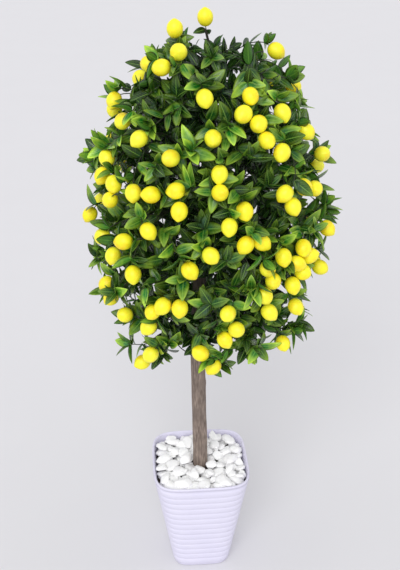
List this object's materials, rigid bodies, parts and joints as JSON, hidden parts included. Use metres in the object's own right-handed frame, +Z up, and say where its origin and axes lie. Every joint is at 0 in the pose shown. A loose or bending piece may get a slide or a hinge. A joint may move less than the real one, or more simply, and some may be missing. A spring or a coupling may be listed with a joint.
{
  "type": "potted lemon tree",
  "caption": "Small standard lemon tree with a bare trunk and an egg-shaped leafy crown of yellow lemons, in a ribbed white pot topped with pebbles.",
  "frame": {"origin": "middle of the pot's flat underside, on the floor", "axes": "+Z up along the trunk; the tree's front faces -Y; +X is to its right seen from the front"},
  "size_m": [0.6434, 0.6505, 1.5062],
  "materials": {
    "white_plastic": "satin",
    "potting_soil": "matte",
    "white_stone": "satin",
    "bark": "matte",
    "leaf": "satin",
    "lemon_peel": "satin"
  },
  "bodies": {
    "root": {"pot": "white_plastic", "soil": "potting_soil", "pebbles": "white_stone", "trunk": "bark", "branch_01": "leaf", "branch_02": "leaf", "branch_03": "leaf", "branch_04": "leaf", "branch_05": "leaf", "branch_06": "leaf", "branch_07": "leaf", "branch_08": "leaf", "branch_09": "leaf", "branch_10": "leaf", "branch_11": "leaf", "branch_12": "leaf", "branch_13": "leaf", "branch_14": "leaf", "branch_15": "leaf", "branch_16": "leaf", "branch_17": "leaf", "branch_18": "leaf", "branch_19": "leaf", "branch_20": "leaf", "branch_21": "leaf", "branch_22": "leaf", "branch_23": "leaf", "branch_24": "leaf", "branch_25": "leaf", "branch_26": "leaf", "branch_27": "leaf", "branch_28": "leaf", "branch_29": "leaf", "branch_30": "leaf", "branch_31": "leaf", "branch_32": "leaf", "lemon_01": "lemon_peel", "lemon_02": "lemon_peel", "lemon_03": "lemon_peel", "lemon_04": "lemon_peel", "lemon_05": "lemon_peel", "lemon_06": "lemon_peel", "lemon_07": "lemon_peel", "lemon_08": "lemon_peel", "lemon_09": "lemon_peel", "lemon_10": "lemon_peel", "lemon_11": "lemon_peel", "lemon_12": "lemon_peel", "lemon_13": "lemon_peel", "lemon_14": "lemon_peel", "lemon_15": "lemon_peel", "lemon_16": "lemon_peel", "lemon_17": "lemon_peel", "lemon_18": "lemon_peel", "lemon_19": "lemon_peel", "lemon_20": "lemon_peel", "lemon_21": "lemon_peel", "lemon_22": "lemon_peel", "lemon_23": "lemon_peel", "lemon_24": "lemon_peel"}
  },
  "joints": []
}
